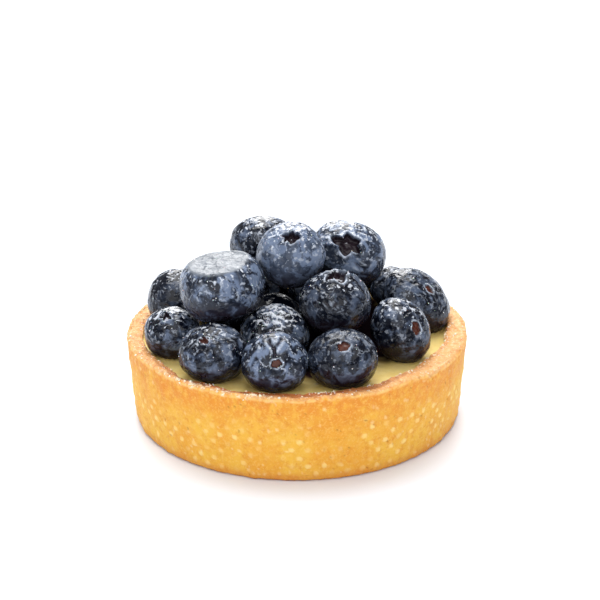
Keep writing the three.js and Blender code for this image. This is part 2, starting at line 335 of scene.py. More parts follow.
def grid_faces(rings, segments):
    """Quads between rings of points that close on themselves, with a fan at each of the two poles.

    The points are one pole, then ring after ring, then the other pole."""
    ring = np.arange(rings - 1)[:, None] * segments
    column = np.arange(segments)[None, :]
    following = (column + 1) % segments
    a = 1 + ring + column
    b = 1 + ring + following
    quads = np.stack([a, a + segments, b + segments, b], axis=-1).reshape(-1, 4)
    first = np.stack([np.zeros(segments, int), 1 + column[0], 1 + following[0]], axis=-1)
    base = 1 + (rings - 1) * segments
    pole = np.full(segments, 1 + rings * segments)
    last = np.stack([pole, base + following[0], base + column[0]], axis=-1)
    return quads.tolist() + first.tolist() + last.tolist()


def make_piece(name, points, faces, material, masks, node):
    """A smooth mesh object with one float attribute for each mask, which rides with the tart.

    It replaces the CAD node named, or stands for none where node is None."""
    mesh = bpy.data.meshes.new(name)
    mesh.from_pydata((points * MM).tolist(), [], faces)
    for mask, values in masks.items():
        layer = mesh.attributes.new(mask, "FLOAT", "POINT")
        layer.data.foreach_set("value", np.asarray(values, np.float32))
    mesh.shade_smooth()
    mesh.materials.append(material)
    piece = bpy.data.objects.new(name, mesh)
    bpy.context.scene.collection.objects.link(piece)
    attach(piece, "root")
    if node:
        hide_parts(node)
    return piece


# Materials


class Nodes:
    """A material's node tree, with a short way to add and link nodes."""

    def __init__(self, name):
        self.material = bpy.data.materials.new(name)
        self.material.use_nodes = True
        self.tree = self.material.node_tree
        self.shader = self.tree.nodes["Principled BSDF"]
        self.place = self.add("ShaderNodeTexCoord").outputs["Object"]

    def add(self, kind, **settings):
        node = self.tree.nodes.new(kind)
        for key, value in settings.items():
            setattr(node, key, value)
        return node

    def feed(self, socket, value):
        """Links an output or a mask, given by its name, to a socket, or sets the socket to a plain value."""
        value = self.mask(value) if isinstance(value, str) else value
        if isinstance(value, bpy.types.NodeSocket):
            self.tree.links.new(value, socket)
        else:
            socket.default_value = value

    def fill(self, node, **values):
        """Feeds a node's sockets, such as specular_ior_level for Specular IOR Level."""
        for key, value in values.items():
            self.feed(node.inputs[key.replace("_", " ").title().replace("Ior", "IOR")], value)

    def noise(self, size, detail=4.0, roughness=0.55, distortion=0.0, stretch=(1, 1, 1)):
        """Noise whose patches are about size millimetres across."""
        mapping = self.add("ShaderNodeMapping")
        self.fill(mapping, vector=self.place, scale=stretch)
        texture = self.add("ShaderNodeTexNoise")
        self.fill(texture, vector=mapping.outputs["Vector"], scale=1 / (size * MM))
        self.fill(texture, detail=detail, roughness=roughness, distortion=distortion)
        return texture.outputs["Fac"]

    def mask(self, name):
        """One of the piece's masks, by its name."""
        return self.add("ShaderNodeAttribute", attribute_name=name).outputs["Fac"]

    def ramp(self, value, low, high, start=0.0, end=1.0):
        """value taken from the range low to high to the range start to end, eased and clamped."""
        node = self.add("ShaderNodeMapRange", interpolation_type="SMOOTHSTEP")
        self.fill(node, value=value, from_min=low, from_max=high, to_min=start, to_max=end)
        return node.outputs["Result"]

    def math(self, operation, *values, clamp=True):
        node = self.add("ShaderNodeMath", operation=operation, use_clamp=clamp)
        for socket, value in zip(node.inputs, values):
            self.feed(socket, value)
        return node.outputs["Value"]

    def times(self, first, second):
        return self.math("MULTIPLY", first, second)

    def mix(self, share, first, second):
        """Colours first and second, mixed by share of the second."""
        node = self.add("ShaderNodeMix", data_type="RGBA")
        self.fill(node, factor=share, a=first, b=second)
        return node.outputs["Result"]

    def bump(self, *layers):
        """Normals bent by layers of (height, distance in millimetres)."""
        normal = None
        for height, distance in layers:
            node = self.add("ShaderNodeBump")
            self.fill(node, height=height, distance=distance * MM)
            if normal:
                self.fill(node, normal=normal)
            normal = node.outputs["Normal"]
        self.set(normal=normal)

    def set(self, **values):
        """Feeds the shader's sockets."""
        self.fill(self.shader, **values)


def colour(red, green, blue):
    """An sRGB colour of 0 to 255, as the linear values that a shader takes."""
    parts = [v / 255 for v in (red, green, blue)]
    linear = [v / 12.92 if v <= 0.04045 else ((v + 0.055) / 1.055) ** 2.4 for v in parts]
    return (*linear, 1.0)


def crust_material():
    nodes = Nodes("crust_shortcrust")
    mix, ramp = nodes.mix, nodes.ramp
    height = nodes.mask("height")
    patches = nodes.noise(7, detail=5, roughness=0.6)
    mottle = nodes.noise(1.6, detail=5, roughness=0.65)
    grain = nodes.noise(0.55, detail=3, roughness=0.7)
    streaks = nodes.noise(1.6, roughness=0.62, stretch=(1, 1, 0.7))

    gold = mix(ramp(patches, 0.38, 0.62), colour(241, 186, 68), colour(237, 168, 56))
    band = nodes.times(ramp(height, 0.45, 0.95), ramp(streaks, 0.35, 0.6, 0.3, 1.0))
    gold = mix(band, gold, colour(230, 144, 46))
    gold = mix(ramp(mottle, 0.5, 0.66, 0.0, 0.5), gold, colour(224, 138, 40))
    gold = mix(ramp(grain, 0.5, 0.64, 0.0, 0.4), gold, colour(248, 204, 108))
    gold = mix(nodes.times("dots", 0.85), gold, colour(252, 218, 136))
    gold = mix(nodes.times("flecks", 0.6), gold, colour(250, 222, 160))
    gold = mix("pits", gold, colour(176, 104, 30))
    gold = mix(ramp(height, 0.02, 0.16, 0.5, 0.0), gold, colour(220, 134, 58))
    gold = mix(ramp(height, 0.0, 0.04, 0.5, 0.0), gold, colour(184, 104, 44))

    toast = mix(ramp(patches, 0.35, 0.65), colour(229, 173, 112), colour(220, 154, 86))
    toast = mix(ramp(grain, 0.5, 0.62, 0.0, 0.6), toast, colour(248, 218, 174))
    toast = mix(ramp(mottle, 0.5, 0.64, 0.0, 0.6), toast, colour(202, 122, 58))
    gold = mix("toast", gold, toast)
    brown = mix(ramp(mottle, 0.38, 0.62), colour(182, 96, 38), colour(136, 64, 22))
    gold = mix("burnt", gold, brown)
    # Painted highlight: a pale line along the rounded top edge of the outer wall.
    gold = mix("crest", gold, colour(250, 206, 128))
    dusted = nodes.times("dusted", ramp(grain, 0.42, 0.54))
    gold = mix(dusted, gold, colour(250, 232, 204))
    nodes.set(base_color=gold, roughness=0.6, specular_ior_level=0.3)
    nodes.set(subsurface_weight=0.12, subsurface_radius=(1.0, 0.5, 0.2), subsurface_scale=0.8 * MM)
    nodes.bump((mottle, 0.4), (grain, 0.26), (streaks, 0.12))
    return nodes.material


def custard_material():
    nodes = Nodes("custard_set")
    mix, ramp = nodes.mix, nodes.ramp
    patches = nodes.noise(5, detail=3)
    specks = nodes.noise(0.5, detail=2)
    cream = mix(ramp(patches, 0.35, 0.65), colour(243, 216, 138), colour(230, 200, 118))
    cream = mix(ramp(specks, 0.62, 0.72, 0.0, 0.35), cream, colour(238, 226, 176))
    cream = mix("shade", cream, colour(138, 100, 48))
    # Painted shade under the heap: a dark purple-brown tinted like juice.
    heap_shade_colour = mix(ramp(patches, 0.4, 0.6), colour(30, 18, 20), colour(46, 28, 30))
    cream = mix("heap_shade", cream, heap_shade_colour)
    # Painted black shade in the depth of the heap.
    cream = mix("deep", cream, colour(9, 5, 8))
    nodes.set(base_color=cream, roughness=0.5)
    # Under the painted heap shade the custard loses its reflection and its subsurface glow, so that it stays
    # dark.
    nodes.set(specular_ior_level=ramp("heap_shade", 0, 0.6, 0.25, 0))
    nodes.set(subsurface_weight=ramp("heap_shade", 0, 0.6, 0.3, 0))
    nodes.set(subsurface_radius=(1.0, 0.8, 0.35), subsurface_scale=1.5 * MM)
    nodes.bump((patches, 0.1), (specks, 0.04))
    return nodes.material


def bloom_share(nodes, mottle, up):
    """Share of the waxy bloom: in patches, all over where it is heavy, and less on the underside."""
    ramp = nodes.ramp
    broad = nodes.noise(5.0, distortion=0.8)
    patchy = nodes.times(ramp(broad, 0.42, 0.57, 0.1, 1.0), ramp(mottle, 0.42, 0.6))
    heavy = nodes.times(nodes.math("SUBTRACT", "bloom", 1.0), 0.45)
    bloom = nodes.math("ADD", nodes.times(patchy, "bloom"), heavy)
    return nodes.times(bloom, ramp(up, 0.02, 0.45, 0.3, 1.0))


def glint_curl_share(nodes, dents, up):
    """Share of the short pale curls near the top of each berry: painted highlights, as glints off the wet
    skin's wrinkles.
    """
    ramp = nodes.ramp
    glint_patches = nodes.noise(3.2, detail=2, roughness=0.5, stretch=(1, 1, 1.2))
    curls = nodes.math("ABSOLUTE", nodes.math("SUBTRACT", dents, 0.5, clamp=False))
    curls = nodes.times(ramp(curls, 0.01, 0.05, 1.0, 0.0), ramp(glint_patches, 0.54, 0.62))
    curls = nodes.times(curls, ramp(up, 0.65, 0.95, 0.0, 0.28))
    return nodes.times(curls, ramp("bloom", 0.0, 0.3))


def berry_material():
    nodes = Nodes("berry_skin_bloom")
    mix, ramp = nodes.mix, nodes.ramp
    mottle = nodes.noise(2.4, roughness=0.58, distortion=0.5)
    film = nodes.noise(1.0, detail=3, roughness=0.5, distortion=0.3)
    dents = nodes.noise(1.7, detail=1.5, roughness=0.5, distortion=0.4)
    fine = nodes.noise(0.5, detail=1)
    up = nodes.mask("up")
    bloom = bloom_share(nodes, mottle, up)

    # Dark navy skin on top; underneath a purple-brown that is partly the skin's own colour and partly a
    # painted warm reflection of the custard and crust.
    skin = mix(ramp(up, 0.1, 0.5), colour(30, 20, 27), colour(8, 12, 24))
    skin = mix(bloom, skin, colour(106, 120, 145))
    # Painted highlights: pale curls near the top, like glints off the wet skin's wrinkles.
    skin = mix(glint_curl_share(nodes, dents, up), skin, colour(190, 198, 212))
    pale = nodes.times(ramp(film, 0.56, 0.66), "bloom")
    pale = nodes.times(pale, ramp(up, 0.3, 0.7, 0.0, 0.8))
    skin = mix(pale, skin, colour(166, 174, 188))
    # The crown's dark inside, also painted as shade into the deepest creases.
    skin = mix("crown", skin, mix(film, colour(10, 6, 10), colour(56, 42, 52)))
    skin = mix("scar", skin, mix(film, colour(20, 8, 8), colour(108, 54, 38)))
    # Pale lips and stem rings, the lip partly a painted highlight, and painted highlights on the shoulders of
    # the creases.
    skin = mix("rim", skin, colour(196, 206, 222))
    powder = nodes.math("ADD", "sugar", ramp(film, 0.3, 0.7, -0.8, 0.8), clamp=False)
    powder = ramp(powder, 0.95, 1.3, 0.0, 0.7)
    skin = mix(powder, skin, colour(222, 227, 236))
    # The pressed berry's flat top: pale bloom and a painted reflection of the light overhead.
    cap_bloom_and_sheen = mix(ramp(mottle, 0.35, 0.65), colour(94, 100, 109), colour(120, 126, 135))
    skin = mix("flat", skin, cap_bloom_and_sheen)
    pressed = nodes.times("flat", 0.2)
    nodes.set(base_color=skin, roughness=nodes.math("ADD", ramp(bloom, 0.0, 0.8, 0.13, 0.3), pressed))
    nodes.set(specular_ior_level=ramp(up, 0.1, 0.4, 0.1, 0.28))
    nodes.bump((dents, 0.5), (fine, 0.03))
    return nodes.material


def sugar_material():
    nodes = Nodes("icing_sugar_grains")
    tint = nodes.noise(2, detail=1)
    nodes.set(base_color=nodes.mix(tint, colour(232, 236, 242), colour(250, 250, 252)), roughness=0.4)
    nodes.set(subsurface_weight=0.2, subsurface_scale=0.2 * MM)
    return nodes.material


def crumb_material():
    nodes = Nodes("crust_crumbs")
    tint = nodes.noise(1.5, detail=2)
    pale = nodes.mix(nodes.ramp(tint, 0.4, 0.7), colour(252, 240, 218), colour(244, 206, 152))
    nodes.set(base_color=pale, roughness=0.6, subsurface_weight=0.15, subsurface_scale=0.4 * MM)
    return nodes.material


def floor_material():
    nodes = Nodes("floor_plain")
    nodes.set(base_color=colour(240, 245, 254), roughness=0.9, specular_ior_level=0.0)
    return nodes.material


# Crust


def inner_radius(angle):
    """Radius of the wall's inner face."""
    return RIM_RADIUS - WALL + waves(INNER_WAVES, angle)


def crust_profile():
    """The shell's section, from the underside's middle outwards and over the rim to the floor inside.

    Each row is a radius or, on the inside, a distance outwards from the inner face; a height; how far it
    goes over from the outside to the inside; and the shares of the rim's waves and chips it follows."""
    rows = [(radius, 0.0, 0, 0, 0) for radius in UNDERSIDE_RINGS]
    for turn in np.radians(np.linspace(0, 90, CORNER_ROWS)):
        foot = BASE_RADIUS - BASE_CORNER * (1 - math.sin(turn))
        rows.append((foot, BASE_CORNER * (1 - math.cos(turn)), 0, 0, 0))
    top = SHELL_HEIGHT - OUTER_EDGE
    for z in np.arange(BASE_CORNER + WALL_STEP, top - 0.1, WALL_STEP):
        share = z / SHELL_HEIGHT
        rows.append((BASE_RADIUS + (RIM_RADIUS - BASE_RADIUS) * share, z, 0, share**6, 0))
    for turn in np.radians(np.linspace(0, 90, CORNER_ROWS)):
        edge = RIM_RADIUS - OUTER_EDGE * (1 - math.cos(turn))
        rows.append((edge, top + OUTER_EDGE * math.sin(turn), 0, 1, 0))
    for share in np.linspace(0, 1, RIM_ROWS + 1)[1:]:
        rows.append((None, SHELL_HEIGHT - RIM_DROP * share**1.3, share, 1, share))
    low = SHELL_HEIGHT - RIM_DROP - INNER_EDGE
    for turn in np.radians(np.linspace(18, 90, 5)):
        inset = INNER_EDGE * (1 - math.sin(turn))
        rows.append((inset, low + INNER_EDGE * math.cos(turn), 1, 1, 1))
    for z in np.arange(low - INSIDE_STEP, CUSTARD_LEVEL - 1.2, -INSIDE_STEP):
        rows.append((0.0, z, 1, 0.6, smoothstep(CUSTARD_LEVEL - 1.5, low, z)))
    # Under the custard the wall runs down to a chamfered corner and a plain floor.
    rows += [(-0.2, INSIDE_MIDDLE, 1, 0, 0), (-INNER_TAPER, FLOOR + INNER_CORNER, 1, 0, 0)]
    rows += [(-INNER_TAPER - INNER_CORNER, FLOOR, 1, 0, 0), (-FLOOR_REACH, FLOOR, 1, 0, 0)]
    return rows


def scattered_marks(along, height, count, sizes, seed, low, high):
    """Soft round marks strewn over the wall between two heights: how strongly each point lies on one."""
    random = np.random.default_rng(seed)
    total = np.zeros(len(along))
    turn_length = 2 * np.pi * RIM_RADIUS
    for _ in range(count):
        x, z = random.uniform(0, turn_length), random.uniform(low, high)
        size, squash = random.uniform(*sizes), random.uniform(0.7, 1.5)
        off = (along - x + turn_length / 2) % turn_length - turn_length / 2
        away = np.hypot(off * squash, (height - z) / squash) / size
        total = np.maximum(total, 1 - smoothstep(0.45, 1.0, away))
    return total


def dot_marks(along, height, points):
    """How strongly each point lies on one of the marks that the baking ring's holes leave."""
    column = along / DOT_PITCH
    row = height / DOT_ROW_PITCH
    marks = np.zeros(len(along))
    edge = DOT_RADIUS * (1 + 0.2 * noise(points, 0.9, 41))
    for shift in (0, 1):
        level = 2 * np.round((row - shift) / 2) + shift
        place = np.round(column - 0.5 * shift)
        away = np.hypot((column - 0.5 * shift - place) * DOT_PITCH, (row - level) * DOT_ROW_PITCH)
        cell = np.stack([place, level, np.zeros(len(along))], axis=1).astype(np.int64)
        clear = smoothstep(0.1, 0.7, lattice(cell, 7).astype(float) / LATTICE_MAX)
        marks = np.maximum(marks, clear * (1 - smoothstep(0.65 * edge, 1.05 * edge, away)))
    patchy = smoothstep(-0.6, 0.2, noise(points, 9, 43))
    return marks * patchy * smoothstep(DOT_TOP, DOT_TOP - 4, height) * smoothstep(0.8, 2.2, height)


def crumbled_side(angle):
    """How near an angle in radians is to the place where the rim has crumbled most, from 0 to 1."""
    middle, half_width = CRUMBLED
    return np.exp(-(((np.degrees(angle) % 360 - middle) / half_width) ** 2))


def plain_shell():
    """The shell before its relief, as arrays with one value for each point of its grid."""
    rows = crust_profile()
    angle = np.tile(np.linspace(0, 2 * np.pi, CRUST_SEGMENTS, endpoint=False), len(rows))
    columns = [[row[i] for row in rows] for i in (1, 2, 3, 4)]
    height, inside, wave, chipped = (np.repeat(np.array(column, float), CRUST_SEGMENTS) for column in columns)
    on_top = np.repeat([row[0] is None for row in rows], CRUST_SEGMENTS)
    reach = np.repeat([row[0] or 0.0 for row in rows], CRUST_SEGMENTS)
    notches = smoothstep(-0.1, 0.6, fractal(round_points(RIM_RADIUS, angle, height), 1.7, 21, 2)) * EDGE_NOTCH
    edge = inner_radius(angle) + (places_round(CHIPS, angle) + notches) * chipped
    crest = RIM_RADIUS - OUTER_EDGE
    over_top = crest + (edge + INNER_EDGE - crest) * inside
    radius = np.where(on_top, over_top, np.where(inside > 0, edge + reach, reach))
    return SimpleNamespace(
        rows=len(rows), angle=angle, height=height, radius=radius, inside=inside, wave=wave, on_top=on_top,
        points=round_points(radius, angle, height),
        on_rim=smoothstep(SHELL_HEIGHT - 1.4, SHELL_HEIGHT - 0.5, height),
        share_in=np.where(on_top, inside, np.where(inside > 0, 1.0, 0.0)),
    )


def mark_shell(shell):
    """Adds the lumps and crumbs of the shell, and how strongly its points lie on a dot, fleck or pit."""
    along = shell.angle * RIM_RADIUS
    outside = (shell.inside == 0) & (shell.height < SHELL_HEIGHT - 0.4)
    shell.dots = dot_marks(along, shell.height, shell.points) * outside
    shell.flecks = scattered_marks(along, shell.height, *FLECKS) * outside
    shell.pits = scattered_marks(along, shell.height, *PITS) * outside
    shell.lumps = fractal(shell.points, 3.5, 1, 3)
    shell.crumbs = fractal(shell.points, 1.0, 5, 2)


def rough_points(shell):
    """The shell's points moved by its relief. Its underside and what the custard hides stay plain."""
    angle, height, inside, on_rim = shell.angle, shell.height, shell.inside, shell.on_rim
    lumps, crumbs = shell.lumps, shell.crumbs
    hidden = (height < 0.01) | ((inside == 1) & (height < CUSTARD_LEVEL - 1))
    rough = np.where(hidden, 0.0, 1.0)
    out = -WALL_INSET + WALL_LUMPS * lumps + WALL_CRUMBS * crumbs
    out = out + DOT_HEIGHT * shell.dots + FLECK_HEIGHT * shell.flecks - PIT_DEPTH * shell.pits
    out += (on_rim + smoothstep(2.0, 0.6, height)) * EDGE_CRUMBS * crumbs
    radius = shell.radius + np.where(inside > 0, INSIDE_CRUMBS * crumbs, out) * rough
    dips = places_round(CREST_DIPS, angle) * on_rim * (1 - shell.share_in)
    lift = shell.wave * (waves(RIM_WAVES, angle) + places_round(RIM_HUMPS, angle)) - dips
    lift += on_rim * (RIM_LUMPS * lumps + RIM_CRUMBS * crumbs)
    lift += shell.share_in * on_rim * RIM_GRAIN * noise(shell.points, 0.8, 25)
    return round_points(radius, angle, height + lift * rough)


def crust_masks(shell, points):
    """Where each of the crust's colours lies."""
    height, share_in, on_rim = shell.height, shell.share_in, shell.on_rim
    outer = shell.inside == 0
    near_crest = np.exp(-(((height - SHELL_HEIGHT + 0.55) / 0.3) ** 2)) * outer
    shown = height > CUSTARD_LEVEL - 1.5
    ragged = 0.12 * fractal(points, 2.2, 31, 3)
    # The front of the rim has browned further out from the inner edge.
    front = smoothstep(0.3, 1.0, np.cos(shell.angle - math.radians(BROWN_SIDE)))
    over = share_in + ragged + 0.25 * smoothstep(SHELL_HEIGHT - 0.8, SHELL_HEIGHT, height) * outer
    over += 0.25 * shell.on_top
    browned = shown * (0.2 + 0.65 * front**2)
    crumbled = crumbled_side(shell.angle) * smoothstep(0.0, 0.5, fractal(points, 1.8, 97, 2))
    return {
        "height": height / SHELL_HEIGHT,
        "dots": shell.dots,
        "flecks": shell.flecks * smoothstep(-0.6, 0.3, noise(points, 8, 33)),
        "pits": shell.pits * 0.75,
        # crest: a painted highlight along the rounded top of the outer wall, broken by the crumbs.
        "crest": near_crest * smoothstep(-0.9, 0.3, shell.crumbs) * 0.8,
        "toast": smoothstep(0.1, 0.26, over + 0.1 * (1 - front) * on_rim) * shown,
        "burnt": smoothstep(0.95 - 0.7 * front, 1.2 - 0.55 * front, over) * browned,
        "dusted": crumbled * on_rim * smoothstep(0.55, 0.2, share_in),
    }


def crust_piece(material):
    """The shell, closed by a pole under its middle and one on its floor."""
    shell = plain_shell()
    mark_shell(shell)
    points = rough_points(shell)
    masks = crust_masks(shell, points)
    points = np.vstack([[0.0, 0.0, 0.0], points, [0.0, 0.0, FLOOR]])
    masks = {name: np.concatenate([[0.0], values, [0.0]]) for name, values in masks.items()}
    faces = [face[::-1] for face in grid_faces(shell.rows, CRUST_SEGMENTS)]
    return make_piece("crust_shell", points, faces, material, masks, "crust")


# Berries


def berry_axes(azimuth, elevation):
    """The berry's side, upright and crown axes, as columns."""
    crown = direction(azimuth, elevation)
    side = np.cross(UP, crown)
    side /= np.linalg.norm(side)
    return np.stack([side, np.cross(crown, side), crown], axis=1)


def star_outline(name, turn, random):
    """Radius of the crown's star against its opening, and how far out along a point each turn lies."""
    tips = STARS.get(name)
    if not tips:
        start = random.uniform(0, 72)
        tips = [(start + 72 * i + random.uniform(-13, 13), random.uniform(0.8, 1.25)) for i in range(5)]
    tips = sorted((angle % 360, length) for angle, length in tips)
    following = tips[1:] + [(tips[0][0] + 360, tips[0][1])]
    knots = []
    for (angle, length), (after, _) in zip(tips, following):
        knots += [(angle, length), ((angle + after) / 2, STAR_VALLEY * random.uniform(0.92, 1.1))]
    angles = np.radians([knot[0] for knot in knots])
    radius = np.interp(turn, angles, [knot[1] for knot in knots], period=2 * np.pi)
    return radius, np.clip((radius - STAR_VALLEY) / 0.4, 0, 1)


def crown_relief(share, peak, lip):
    """Height of the crown along the berry's axis at a share of its opening's radius."""
    wall = smoothstep(0.7, 0.97, share)
    floor = CROWN_FLOOR * (1 - wall) * (1 - 0.2 * smoothstep(0.5, 0.0, share))
    pip = 0.025 * np.exp(-((share - 0.22) ** 2) / 0.008)
    teeth = lip * (0.45 + 0.55 * (1 - peak))
    ridge = teeth * np.exp(-((share - 1.06) ** 2) / 0.012) + 0.3 * lip * np.exp(-((share - 1.3) ** 2) / 0.05)
    return floor + pip * (1 - wall) + ridge


def groove(points, start, end, depth, width):
    """Depth of a crease along the arc between two directions."""
    line = end - start
    share = np.clip((points - start) @ line / (line @ line), 0, 1)
    nearest = start + share[:, None] * line
    away = np.linalg.norm(points - nearest, axis=1)
    taper = np.sin(np.pi * np.clip(share, 0.08, 0.92))
    shoulder = 0.35 * np.exp(-(((away - 2 * width) / width) ** 2))
    return depth * taper * (np.exp(-((away / width) ** 2)) - shoulder)


def skin_grid(name, opening, random):
    """The skin's points by their angles round the crown and away from it, and as places on a ball."""
    crown_rings = [share * opening for share in CROWN_RINGS] if opening else list(PRESSED_RINGS)
    scar_rings = [180 - angle for angle in SCAR_RINGS]
    steps = 2 + int((scar_rings[0] - crown_rings[-1]) / BODY_STEP)
    body = np.linspace(crown_rings[-1], scar_rings[0], steps)
    polar = np.concatenate([crown_rings, body[1:-1], scar_rings])
    turn = np.tile(np.linspace(0, 2 * np.pi, BERRY_SEGMENTS, endpoint=False), len(polar))
    angle = np.repeat(polar, BERRY_SEGMENTS)
    share = angle / opening if opening else np.full(len(angle), FAR)
    star, peak = star_outline(name, turn, random)
    near = 1 - smoothstep(1.0, CROWN_RINGS[-1], share)
    angle = angle * (1 + near * (star - 1)) if opening else angle
    # The two poles close the skin.
    turn = np.concatenate([[0.0], turn, [0.0]])
    angle = np.radians(np.concatenate([[0.0], angle, [180.0]]))
    out = np.sin(angle)
    return SimpleNamespace(
        rings=len(polar), turn=turn, angle=angle,
        share=np.concatenate([[0.0], share, [FAR]]),
        peak=np.concatenate([[0.0], peak, [0.0]]),
        ball=np.stack([out * np.cos(turn), out * np.sin(turn), np.cos(angle)], axis=1),
    )


def skin_bulge(name, ball, places):
    """How far the skin stands out from a ball: its squareness and its broad and fine unevenness."""
    power = SQUARE.get(name, ROUND)
    bulge = 1 / (np.abs(ball) ** power).sum(1) ** (1 / power) - 1
    return bulge + (0.03 * fractal(places, 0.9, 3, 2) + 0.009 * fractal(places, 0.26, 6, 2))


def skin_creases(name, world):
    """Depth of the berry's creases in each direction seen from its middle."""
    depth = np.zeros(len(world))
    for *ends, deep, width in CREASES.get(name, []):
        depth += groove(world, direction(*ends[:2]), direction(*ends[2:]), deep, width)
    return depth


def crown_end(grid, places, random):
    """The open crown's relief along the axis, and how much of the looks of crown and lip each point has."""
    lip = LIP_HEIGHT * random.uniform(0.8, 1.25)
    ragged = 1 + 0.6 * noise(places, 0.12, 8)
    relief = crown_relief(grid.share, grid.peak, lip * ragged)
    return relief, 1 - smoothstep(0.82, 0.99, grid.share), np.exp(-((grid.share - 1.06) ** 2) / 0.008)


def stem_end(name, order, grid):
    """The stem scar's relief along the axis, and how much of the looks of scar and ring each point has."""
    from_stem = 180 - np.degrees(grid.angle)
    edge = SCAR_SIZES.get(name, 1.0) * SCAR_ANGLE * np.ones(len(from_stem))
    edge *= 1 + 0.12 * np.sin(2 * grid.turn + order) + 0.08 * np.sin(5 * grid.turn + 2 * order)
    scar = 1 - smoothstep(edge - 2.0, edge + 0.3, from_stem)
    ring = np.exp(-(((from_stem - edge - 1.6) / 1.3) ** 2))
    return SCAR_DEPTH * scar - SCAR_RING * ring + 0.02 * np.exp(-((from_stem / 18) ** 2)), scar, ring


def fit_to_node(name, points):
    """The points pressed aslant where the berry is, at the size and place of its CAD node."""
    if name in ASLANT:
        azimuth, elevation, left = ASLANT[name]
        lean = direction(azimuth, elevation)
        points = points - (1 - left) * (points @ lean)[:, None] * lean
    low, high = (np.array(corner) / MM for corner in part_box(name))
    own_low, own_high = points.min(0), points.max(0)
    size = (high - low) / (own_high - own_low) * [WIDER.get(name, 1.0), 1, 1]
    return (points - (own_low + own_high) / 2) * size + (low + high) / 2


def berry_skin(name, order):
    """The berry's skin in place, its masks, its faces and the outward direction of each point."""
    height, length, azimuth, elevation, opening, bloom = BERRIES[name]
    random = np.random.default_rng(BERRY_SEED + order)
    axes = berry_axes(azimuth, elevation)
    grid = skin_grid(name, opening, random)
    world = grid.ball @ axes.T
    places = grid.ball + random.uniform(-50, 50, 3)
    crease = skin_creases(name, world)
    # Shoulders: the skin is a little fuller round the crown and the stem than an ellipsoid.
    shoulder = 0.03 * np.sin(2 * grid.angle) ** 2
    shape = grid.ball * (1 + skin_bulge(name, grid.ball, places) + shoulder - crease)[:, None]
    stem_relief, scar, stem_ring = stem_end(name, order, grid)
    if opening:
        crown_height, crown, lip = crown_end(grid, places, random)
    else:
        crown_height, crown, lip = np.zeros((3, len(world)))
        shape[:, 2] = np.minimum(shape[:, 2], FLAT_TOP + 0.03 * fractal(places, 0.5, 12, 2))
    shape[:, 2] += crown_height + stem_relief
    unbroken = smoothstep(-0.7, 0.5, noise(places, 0.2, 14))
    crease_highlights = smoothstep(0.25, 1.0, -30 * crease) * 0.5
    masks = {
        "up": smoothstep(-0.9, 0.9, world[:, 2]),
        # crown: the crown's dark inside, and painted shade in the deepest creases.
        "crown": np.maximum(crown, 0.9 * smoothstep(0.03, 0.07, crease)),
        "scar": smoothstep(0.15, 0.8, scar) * FAINT_SCARS.get(name, 1.0),
        # rim: the crown's pale lip and the pale ring round the stem scar, the lip partly a painted highlight,
        # and painted highlights on the creases' shoulders.
        "rim": np.clip((0.95 * lip + 0.7 * stem_ring) * unbroken + crease_highlights, 0, 1) * (1 - scar),
        "bloom": np.full(len(world), bloom),
        "flat": smoothstep(FLAT_TOP - 0.06, FLAT_TOP - 0.03, shape[:, 2]) * (not opening),
    }
    points = fit_to_node(name, (shape * [1, height, length]) @ axes.T)
    return {"points": points, "masks": masks, "faces": grid_faces(grid.rings, BERRY_SEGMENTS), "out": world}


def heap_tree(skins):
    """The whole heap of berries, to cast rays at."""
    corners, faces, first = [], [], 0
    for skin in skins.values():
        corners += skin["points"].tolist()
        faces += [[first + corner for corner in face] for face in skin["faces"]]
        first += len(skin["points"])
    return BVHTree.FromPolygons(corners, faces)


def open_share(tree, starts, chosen):
    """Share of the sifting directions in which the chosen points see past the heap; 0 elsewhere."""
    rays = [Vector(direction(azimuth, 90 - tilt)) for tilt, azimuth in DUST_RAYS]
    share = np.zeros(len(starts))
    for i in np.flatnonzero(chosen):
        start = Vector(starts[i])
        share[i] = sum(tree.ray_cast(start, ray)[0] is None for ray in rays) / len(rays)
    return share


def sift_sugar(skins, tree):
    """Gives each berry the masks of the open sky over it and of the sugar that falls on it."""
    for name, skin in skins.items():
        upward = skin["out"][:, 2]
        open_sky = open_share(tree, skin["points"] + RAY_LIFT * skin["out"], upward > -0.15)
        masks = skin["masks"]
        masks["open"] = open_sky * smoothstep(-0.15, 0.3, upward)
        fall = open_sky * (0.45 + 0.25 * masks["bloom"]) + SUGAR_CHANGE.get(name, 0.0)
        masks["sugar"] = np.maximum(fall, 0) * smoothstep(0.1, 0.95, upward)


# Custard


def custard_plan():
    """Places of the custard's surface seen from above, and how far each one lies from the wall."""
    shares = np.linspace(0, 1, CUSTARD_RINGS + 1)[1:]
    turn = np.tile(np.linspace(0, 2 * np.pi, CUSTARD_SEGMENTS, endpoint=False), len(shares))
    share = np.repeat(shares, CUSTARD_SEGMENTS)
    chips = 0.9 * places_round(CHIPS, turn) * smoothstep(0.85, 1.0, share)
    wall = inner_radius(turn) + WALL_OVERLAP + chips
    radius = share * wall
    plan = np.vstack([[0.0, 0.0, 0.0], round_points(radius, turn, np.zeros(len(turn)))])
    return plan, np.concatenate([[WALL * 8], wall - radius])


def outside_berry(points, plan):
    """How far each place lies outside the berry's outline at the custard's level; None if it has none."""
    low = points[np.abs(points[:, 2] - CUSTARD_LEVEL) < 0.7]
    if not len(low):
        return None
    centre = low[:, :2].mean(0)
    bearing = np.arctan2(low[:, 1] - centre[1], low[:, 0] - centre[0])
    order = np.argsort(bearing)
    reach = np.linalg.norm(low[:, :2] - centre, axis=1)[order]
    own = plan[:, :2] - centre
    outline = np.interp(np.arctan2(own[:, 1], own[:, 0]), bearing[order], reach, period=2 * np.pi)
    return np.linalg.norm(own, axis=1) - outline


